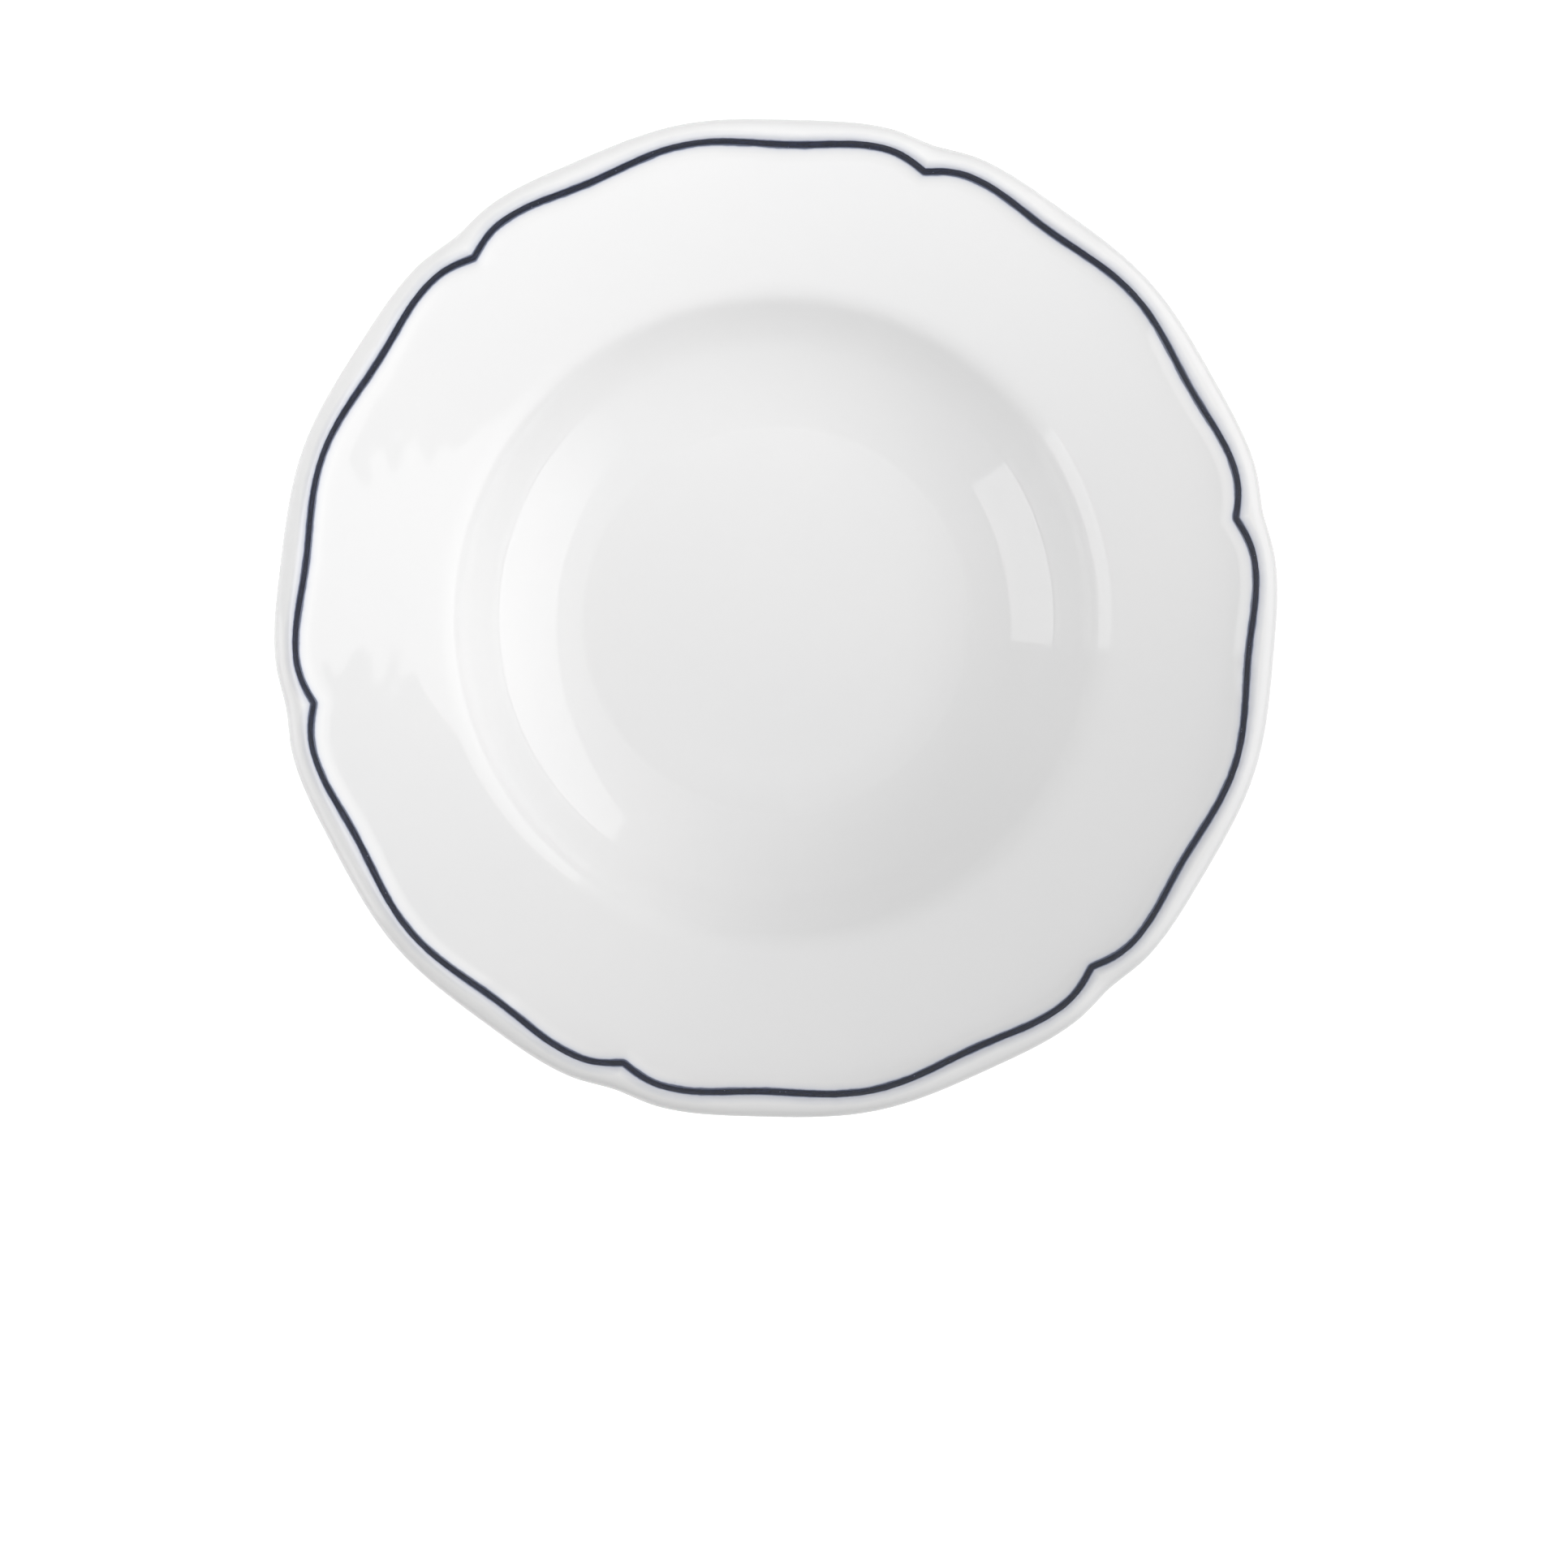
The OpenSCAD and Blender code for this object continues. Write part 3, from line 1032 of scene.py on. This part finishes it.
@dataclass
class Plate:
    """The plate's clay, its two coats of glaze and its painted line.

    Sections are made at a fineness. At 1, arcs turn by arc_step between two points, straight legs
    longer than leg_gap are parted, and the lip has lip_points: over the rim's end, the hollow, the
    climb to the crest and the rounded edge. A fineness of 2 has twice as many points. The coats
    round off at soft_share of their thickness, and the outer one's back ends at back_share times
    the height of its edge.
    """

    sizes: PlateSizes = field(default_factory=PlateSizes)
    join_top_r: float = 99.5
    join_under_r: float = 104.0
    arc_step: float = 8.0
    leg_gap: float = 12.0
    lip_points: tuple[int, int, int, int] = (2, 5, 4, 12)
    soft_share: float = 0.9
    back_share: float = 1.5
    width_waver: float = 0.05
    waver_counts: tuple[int, ...] = (2, 5, 11)
    dome_share: float = 1.6
    line_points: int = 13

    def __post_init__(self) -> None:
        """Works out the scalloped outlines."""
        self.scallop = Scallop(self.sizes)
        self.angles, fold = self.scallop.stations()
        self.form = LipForm(self.sizes, self.scallop.edge(fold), self.scallop.line(fold))
        self.slant = self.scallop.slant(self.angles, self.form.line)

    def spun(self, path: Array) -> Array:
        """Repeats one path at every station."""
        return np.broadcast_to(path, (len(self.angles), *path.shape))

    def lip(self, skin: float, fine: int) -> tuple[Array, int]:
        """Sections of the lip, from the rim's top face round to its underside.

        The rounded edge is an arc from straight up to square to the underside.

        Args:
            skin: Depth under the glazed surface.
            fine: The fineness.

        Returns:
            Sections of (stations, n, 2), and which point lies in the middle of the line.
        """
        s = self.sizes
        line = self.form.line[:, None]
        middle_r, middle_z = (x[:, None] for x in self.form.middle)
        inner = line - s.hollow_w
        on_rim, on_hollow, on_climb, on_edge = (fine * count for count in self.lip_points)
        plain = self.join_top_r + (inner - self.join_top_r) * shares(on_rim)
        hollow = inner + s.hollow_w * shares(on_hollow)
        climb = line + (middle_r - line) * shares(on_climb)
        tops = np.concatenate([plain, hollow, climb], axis=1)
        top = np.stack([tops, self.form.height(tops) - skin / s.top_lean], axis=-1)
        a = np.radians(np.linspace(90.0, s.outer_slope - 90.0, on_edge + 1))
        bead_r = s.bead_r - skin
        bead = np.stack([middle_r + bead_r * np.cos(a), middle_z + bead_r * np.sin(a)], axis=-1)
        return np.concatenate([top, bead], axis=1), on_rim + on_hollow

    def shell(self, skin: float, fine: int, end: Array) -> tuple[Array, int]:
        """Sections from the middle of the floor, round the lip, to the foot.

        Args:
            skin: Depth under the glazed surface.
            fine: The fineness.
            end: Corners after the hollow over the foot.

        Returns:
            Sections of (stations, n, 2), and which point lies in the middle of the line.
        """
        s = self.sizes
        step, gap = self.arc_step / fine, self.leg_gap / fine
        lip, at = self.lip(skin, fine)
        top = filled(rounded(parallel(s.top_corners(self.join_top_r), skin), step), gap)[:-1]
        below = parallel(s.under_corners(self.join_under_r, 0.0), skin)[:-1]
        under = filled(rounded(np.concatenate([below, end]), step / 2), gap)
        sections = np.concatenate([self.spun(top), lip, self.spun(under)], axis=1)
        return sections, len(top) + at

    def outer_coat(self) -> SectionMesh:
        """Glaze over the top face, the lip and the outer wall, ending in a soft edge over the foot.

        Returns:
            The coat, with line_mm: the distance from the middle of the line, positive toward the lip.
        """
        s = self.sizes
        inner_r = s.foot_r - s.glaze_t
        soft_edge = np.array([[s.foot_r, s.bare_h, self.soft_share * s.glaze_t], [inner_r, s.bare_h, 0.0]])
        outside, at = self.shell(0.0, 2, soft_edge)
        back_end = np.array([[inner_r, self.back_share * s.bare_h, 0.0]])
        inside, _ = self.shell(s.glaze_t, 1, back_end)
        lengths = steps(outside)
        line_mm = (lengths - lengths[:, at : at + 1]) * self.slant[:, None]
        hidden = np.full(inside.shape[:2], s.plate_r)
        return SectionMesh(
            "glaze_coat",
            self.angles,
            np.concatenate([outside, inside[:, ::-1]], axis=1),
            values={"line_mm": np.concatenate([line_mm, hidden], axis=1)},
        )

    def clay(self) -> SectionMesh:
        """Fired clay under the glaze, bare on the foot's standing edge.

        Returns:
            The clay.
        """
        s = self.sizes
        end = np.array(
            [
                [s.foot_r - s.glaze_t, 0.0, s.foot_edge_r],
                [s.foot_in_r, 0.0, s.foot_edge_r],
                [s.foot_in_r, s.recess_h, s.recess_cove_r],
                [0.0, s.recess_h, 0.0],
            ]
        )
        sections, _ = self.shell(s.glaze_t, 1, end)
        return SectionMesh("bare_clay_body", self.angles, sections)

    def recess_coat(self) -> SectionMesh:
        """Glaze in the recess inside the foot ring, ending in a soft edge over the standing face.

        Returns:
            The coat.
        """
        s = self.sizes
        clay_side = np.array(
            [
                [0.0, s.recess_h, 0.0],
                [s.foot_in_r, s.recess_h, s.recess_cove_r],
                [s.foot_in_r, s.bare_h, 0.0],
            ]
        )
        air_side = parallel(clay_side, s.glaze_t)
        air_side[-1, 2] = self.soft_share * s.glaze_t
        corner = np.array([[s.foot_in_r, s.bare_h, 0.0]])
        air = filled(rounded(np.concatenate([air_side, corner]), self.arc_step / 2), self.leg_gap / 2)
        back = filled(rounded(clay_side, self.arc_step), self.leg_gap)[-2::-1]
        path = np.concatenate([air, back])
        return SectionMesh("recess_glaze_coat", self.angles, self.spun(path[::-1]))

    def painted_line(self) -> SectionMesh:
        """Band of colour along the line: a shallow dome over the glaze, its edges sunk in it.

        Its half width wavers as three sines of the angle. Over the width, from -1 to 1, the dome
        stands line_proud in the middle and falls by the fourth power to below the glaze.

        Returns:
            The band, with across: -1 at its inner edge, 1 at its outer edge.
        """
        s = self.sizes
        waver = sum(np.sin(k * self.angles + k * k) for k in self.waver_counts) * self.width_waver
        half = (s.line_w / 2 * (1 + waver) / self.slant)[:, None]
        across = np.linspace(-1.0, 1.0, self.line_points)[None, :]
        r = self.form.line[:, None] + half * across
        z = self.form.height(r)
        over = z + s.line_proud * (1 - self.dome_share * across**4)
        deep = z - s.line_sunk
        sections = np.concatenate([np.stack([r, over], -1), np.stack([r, deep], -1)[:, ::-1]], axis=1)
        widths = np.broadcast_to(np.concatenate([across, across[:, ::-1]], axis=1), sections.shape[:2])
        return SectionMesh("navy_line_band", self.angles, sections, poles=False, values={"across": widths})

    def dress(self) -> None:
        """Builds every piece, gives it its finish and seats it on the frame."""
        relief, specks = glaze_relief_group(), speck_group()
        glaze = GlazeFinish(relief, specks).build()
        clay = ClayFinish(specks).build()
        colour = LineFinish(relief, specks).build()
        rows = [
            (self.clay(), clay, "porcelain_body", Slot.CLAY),
            (self.outer_coat(), glaze, "outer_glaze", Slot.GLAZE),
            (self.recess_coat(), glaze, "base_glaze", Slot.GLAZE),
            (self.painted_line(), colour, "rim_line", Slot.LINE),
        ]
        for shape, material, node, slot in rows:
            piece = shape.build()
            piece.data.materials.append(material)
            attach(piece, "root")
            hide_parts(node)
            LOG.info("%s: %d faces, in place of %s", piece.name, len(piece.data.polygons), node)


# The studio


@dataclass(frozen=True)
class SoftBox:
    """Soft light beside or over the plate. Its azimuth is that of the picture, 0 to the right, 90 up.

    An upright box stands square to the floor, and any other faces the plate. The slide moves it
    sideways toward greater azimuths, and the fade dims that share of its width at one end. A box
    that isn't mirrored lights the plate but shows in none of its reflections.
    """

    name: str
    azimuth: float
    elevation: float
    distance: float
    width: float
    height: float
    radiance: float
    upright: bool = False
    slide: float = 0.0
    fade: float = 0.0
    mirrored: bool = True


@dataclass
class Studio:
    """White floor and surround, soft boxes, and a camera that looks straight down.

    The camera's frame is frame_w wide at the height frame_z, and its middle lies right_of_plate and
    below_plate from the plate's axis in the picture.
    """

    roll: float = 18.75
    frame_w: float = 0.3586
    frame_z: float = 0.044
    camera_h: float = 5.0
    sensor_mm: float = 36.0
    clip: tuple[float, float] = (0.1, 50.0)
    right_of_plate: float = 0.00178
    below_plate: float = 0.03794
    ambient: float = 0.02
    floor_half: float = 6.0
    floor_grey: float = 0.65
    floor_glow: float = 0.75
    white: Colour = (1.0, 1.0, 1.0)
    boxes: tuple[SoftBox, ...] = (
        SoftBox("panel", -9.0, 33.5, 1.439, 3.5, 1.59, 1.05, upright=True, slide=0.59, fade=0.25),
        SoftBox("left_panel", 194.0, 27.0, 1.347, 0.87, 1.05, 1.3, upright=True),
        SoftBox("over_fill", 95.0, 66.0, 0.4, 0.3, 0.3, 3.4, mirrored=False),
        SoftBox("right_fill", 345.0, 30.0, 1.6, 1.1, 0.6, 2.8, mirrored=False),
        SoftBox("front_fill", 270.0, 40.0, 1.6, 1.1, 0.6, 2.1, mirrored=False),
        SoftBox("low_fill", 225.0, 12.0, 1.6, 1.1, 0.6, 1.15, mirrored=False),
        SoftBox("left_strip", 180.0, 3.2, 0.5, 0.8, 0.045, 7.0, upright=True, mirrored=False),
        SoftBox("back_strip", 120.0, 3.2, 0.5, 0.8, 0.045, 3.5, upright=True, mirrored=False),
    )

    def camera(self) -> None:
        """Places the camera straight above, rolled so that the notches fall as in the picture."""
        a = np.radians(self.roll)
        right, up = np.array([np.cos(a), np.sin(a)]), np.array([-np.sin(a), np.cos(a)])
        x, y = self.right_of_plate * right - self.below_plate * up
        data = bpy.data.cameras.new("camera")
        data.sensor_width = self.sensor_mm
        data.lens = self.sensor_mm * (self.camera_h - self.frame_z) / self.frame_w
        data.clip_start, data.clip_end = self.clip
        camera = bpy.data.objects.new("camera", data)
        camera.location = (x, y, self.camera_h)
        camera.rotation_euler = (0.0, 0.0, a)
        bpy.context.scene.collection.objects.link(camera)
        bpy.context.scene.camera = camera

    def lamp(self, box: SoftBox) -> None:
        """Adds one soft box: an area lamp whose power is its radiance times pi times its area.

        Args:
            box: The soft box.
        """
        data = bpy.data.lights.new(box.name, "AREA")
        data.shape = "RECTANGLE"
        data.size, data.size_y = box.width, box.height
        data.energy = box.radiance * np.pi * box.width * box.height
        if box.fade > 0:
            self.fade(data, box.fade)
        lamp = bpy.data.objects.new(box.name, data)
        a, e = np.radians(box.azimuth + self.roll), np.radians(box.elevation)
        way = np.array([np.cos(a) * np.cos(e), np.sin(a) * np.cos(e), np.sin(e)])
        lamp.location = way * box.distance + np.array([-np.sin(a), np.cos(a), 0.0]) * box.slide
        lamp.rotation_euler = (np.pi / 2 - (0.0 if box.upright else e), 0.0, a + np.pi / 2)
        lamp.visible_camera = False
        lamp.visible_glossy = box.mirrored
        bpy.context.scene.collection.objects.link(lamp)

    def fade(self, data: bpy.types.Light, share: float) -> None:
        """Dims a box toward one end, by a smooth step over its own sideways coordinate.

        Args:
            data: The box's lamp.
            share: Share of the width that is dimmed.
        """
        data.use_nodes = True
        bench = NodeBench(data.node_tree)
        along = bench.add("ShaderNodeNewGeometry").outputs["Parametric"]
        across = bench.add("ShaderNodeSeparateXYZ", {0: along}).outputs[0]
        strength = bench.spread(across, (0.0, share), (0.0, 1.0), smooth=True)
        light = bench.add("ShaderNodeEmission", {"Color": opaque(self.white), "Strength": strength})
        bench.add("ShaderNodeOutputLight", {"Surface": light.outputs[0]})

    def white_where_seen(self, bench: NodeBench) -> bpy.types.NodeSocket:
        """Mask of the rays that see the plain white: camera, glossy and transmission rays.

        Args:
            bench: Nodes of the world or of the floor's material.

        Returns:
            1 for those rays and 0 for the rest.
        """
        path = bench.add("ShaderNodeLightPath")
        seen = bench.maths("MAXIMUM", path.outputs["Is Camera Ray"], path.outputs["Is Glossy Ray"])
        return bench.maths("MAXIMUM", seen, path.outputs["Is Transmission Ray"])

    def surround(self) -> None:
        """White world that is seen at full strength and lights the plate at the ambient level."""
        world = bpy.data.worlds.new("surround")
        world.use_nodes = True
        bench = NodeBench(world.node_tree)
        strength = bench.spread(self.white_where_seen(bench), (0.0, 1.0), (self.ambient, 1.0))
        light = bench.add("ShaderNodeBackground", {"Color": opaque(self.white), "Strength": strength})
        bench.add("ShaderNodeOutputWorld", {"Surface": light.outputs[0]})
        bpy.context.scene.world = world

    def floor(self) -> None:
        """Pale floor that keeps the plate's soft shadow and reads white in the picture."""
        mesh = bpy.data.meshes.new("floor")
        corners = np.array([[-1.0, -1.0, 0.0], [1.0, -1.0, 0.0], [1.0, 1.0, 0.0], [-1.0, 1.0, 0.0]])
        mesh.from_pydata((corners * self.floor_half).tolist(), [], [[0, 1, 2, 3]])
        material, bench = new_material("pale_floor")
        diffuse = bench.add("ShaderNodeBsdfDiffuse", {"Color": opaque((self.floor_grey,) * 3)})
        lift = bench.maths("MULTIPLY", self.white_where_seen(bench), self.floor_glow)
        glow = bench.add("ShaderNodeEmission", {"Color": opaque(self.white), "Strength": lift})
        both = bench.add("ShaderNodeAddShader", {0: diffuse.outputs[0], 1: glow.outputs[0]})
        bench.add("ShaderNodeOutputMaterial", {"Surface": both.outputs[0]})
        mesh.materials.append(material)
        floor = bpy.data.objects.new("floor", mesh)
        bpy.context.scene.collection.objects.link(floor)

    def build(self) -> None:
        """Sets the colour handling and builds the camera, the lamps, the surround and the floor."""
        bpy.context.scene.view_settings.view_transform = "Standard"
        self.camera()
        for box in self.boxes:
            self.lamp(box)
        self.surround()
        self.floor()


def main() -> None:
    """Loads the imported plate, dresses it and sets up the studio."""
    logging.basicConfig(level=logging.INFO, format="%(message)s")
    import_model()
    Plate().dress()
    Studio().build()


if __name__ == "__main__":
    main()
